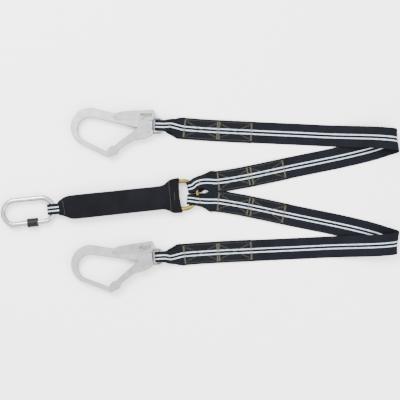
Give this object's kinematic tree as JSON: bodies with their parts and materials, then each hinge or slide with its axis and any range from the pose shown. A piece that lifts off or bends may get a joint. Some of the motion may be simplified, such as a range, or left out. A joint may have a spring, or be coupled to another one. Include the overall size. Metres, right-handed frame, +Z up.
{
  "type": "twin-leg shock absorbing lanyard",
  "caption": "Fall arrest lanyard laid flat: oval screw gate carabiner, sewn energy absorber pack, D ring and folded webbing legs that end in wide scaffold hooks.",
  "frame": {"origin": "on the floor under the middle of the box round the hardware: carabiner, absorber pack, ring and both hooks", "axes": "+X from the carabiner towards the folds of the legs, +Y across the legs towards hook_1, +Z up from the floor it is laid on"},
  "size_m": [0.8423, 0.3901, 0.028],
  "materials": {
    "galvanised_forging": "dull hot-dip zinc",
    "galvanised_sheet": "bright zinc on pressed sheet",
    "rivet_steel": "zinc plated",
    "polished_steel": "polished zinc plate",
    "pin_steel": "ground",
    "spring_steel": "oiled wire",
    "sleeve": "black satin",
    "ring_zinc": "yellow passivated zinc",
    "wear_tube": "extruded",
    "cover_fabric": "woven nylon cover",
    "cover_thread": "bonded thread",
    "tear_webbing": "undyed polyester webbing",
    "thread": "olive bonded polyester thread",
    "webbing": "navy-black polyester webbing with two pale reflective yarn stripes"
  },
  "bodies": {
    "absorber_pack": {"absorber_cover": "cover_fabric", "absorber_cover_seams": "cover_thread", "absorber_tear_webbing": "tear_webbing", "absorber_backup_strap": "tear_webbing", "absorber_carabiner_loop": "webbing", "absorber_ring_loop": "webbing"},
    "carabiner": {"carabiner_body": "polished_steel", "carabiner_gate_pin": "pin_steel"},
    "carabiner_gate_group": {"carabiner_gate": "polished_steel", "carabiner_latch_pin": "pin_steel", "carabiner_gate_spring": "spring_steel", "carabiner_spring_plunger": "pin_steel"},
    "carabiner_lock": {"carabiner_sleeve": "sleeve"},
    "ring": {"d_ring": "ring_zinc", "absorber_wear_tube": "wear_tube"},
    "leg_1_strap": {"leg_1_webbing": "webbing", "leg_1_stitching": "thread"},
    "hook_1_body": {"hook_1_frame": "galvanised_forging", "hook_1_gate_rivet": "rivet_steel", "hook_1_lever_rivet": "rivet_steel", "hook_1_gate_spring": "spring_steel", "hook_1_lever_spring": "spring_steel"},
    "hook_1_gate_group": {"hook_1_gate": "galvanised_sheet", "hook_1_lock_pin": "rivet_steel"},
    "hook_1_safety_lever": {"hook_1_lever": "galvanised_sheet"},
    "leg_2_strap": {"leg_2_webbing": "webbing", "leg_2_stitching": "thread"},
    "hook_2_body": {"hook_2_frame": "galvanised_forging", "hook_2_gate_rivet": "rivet_steel", "hook_2_lever_rivet": "rivet_steel", "hook_2_gate_spring": "spring_steel", "hook_2_lever_spring": "spring_steel"},
    "hook_2_gate_group": {"hook_2_gate": "galvanised_sheet", "hook_2_lock_pin": "rivet_steel"},
    "hook_2_safety_lever": {"hook_2_lever": "galvanised_sheet"}
  },
  "joints": [
    {"name": "carabiner_swing", "type": "hinge", "parent": "absorber_pack", "child": "carabiner", "pos_m": [-0.12352, -0.02142, 0.0108], "axis": [0, 0, 1], "range_deg": [-20, 20]},
    {"name": "carabiner_gate_hinge", "type": "hinge", "parent": "carabiner", "child": "carabiner_gate_group", "pos_m": [-0.12256, -0.04596, 0.0108], "axis": [0, 0, -1], "range_deg": [0, 25], "stiffness_Nm_per_rad": 0.25, "springref_deg": -34.38},
    {"name": "carabiner_sleeve_travel", "type": "slide", "parent": "carabiner_gate_group", "child": "carabiner_lock", "axis": [-0.9945, -0.1045, 0], "range_m": [0, 0.022]},
    {"name": "ring_yaw", "type": "hinge", "parent": "absorber_pack", "child": "ring", "pos_m": [0.15681, 0.00824, 0.0108], "axis": [0, 0, 1], "range_deg": [-3, 3]},
    {"name": "leg_1_swing", "type": "hinge", "parent": "ring", "child": "leg_1_strap", "pos_m": [0.1763, 0.01029, 0.0108], "axis": [0, 0, 1], "range_deg": [0, 8]},
    {"name": "hook_1_eye_hinge", "type": "hinge", "parent": "leg_1_strap", "child": "hook_1_body", "pos_m": [0.1308, 0.1561, 0.0108], "axis": [0, 1, 0], "range_deg": [0, 90]},
    {"name": "hook_1_gate_hinge", "type": "hinge", "parent": "hook_1_body", "child": "hook_1_gate_group", "pos_m": [0.1028, 0.1434, 0.0108], "axis": [0, 0, -1], "range_deg": [0, 30], "stiffness_Nm_per_rad": 0.5, "springref_deg": -28.65},
    {"name": "hook_1_lever_hinge", "type": "hinge", "parent": "hook_1_body", "child": "hook_1_safety_lever", "pos_m": [0.033, 0.1758, 0.0108], "axis": [0, 0, -1], "range_deg": [0, 3.51], "stiffness_Nm_per_rad": 0.5, "springref_deg": -5.73},
    {"name": "leg_2_swing", "type": "hinge", "parent": "ring", "child": "leg_2_strap", "pos_m": [0.1763, 0.01029, 0.0108], "axis": [0, 0, -1], "range_deg": [0, 8]},
    {"name": "hook_2_eye_hinge", "type": "hinge", "parent": "leg_2_strap", "child": "hook_2_body", "pos_m": [0.1305, -0.1196, 0.0108], "axis": [-0.0941, 0.9956, 0], "range_deg": [0, 90]},
    {"name": "hook_2_gate_hinge", "type": "hinge", "parent": "hook_2_body", "child": "hook_2_gate_group", "pos_m": [0.10382, -0.13488, 0.0108], "axis": [0, 0, -1], "range_deg": [0, 30], "stiffness_Nm_per_rad": 0.5, "springref_deg": -28.65},
    {"name": "hook_2_lever_hinge", "type": "hinge", "parent": "hook_2_body", "child": "hook_2_safety_lever", "pos_m": [0.03128, -0.10919, 0.0108], "axis": [0, 0, -1], "range_deg": [0, 3.51], "stiffness_Nm_per_rad": 0.5, "springref_deg": -5.73}
  ],
  "couplings": [
    {"joint": "hook_1_lever_hinge", "follows": "hook_1_gate_hinge", "ratio": 0.11667},
    {"joint": "hook_2_lever_hinge", "follows": "hook_2_gate_hinge", "ratio": 0.11667}
  ]
}
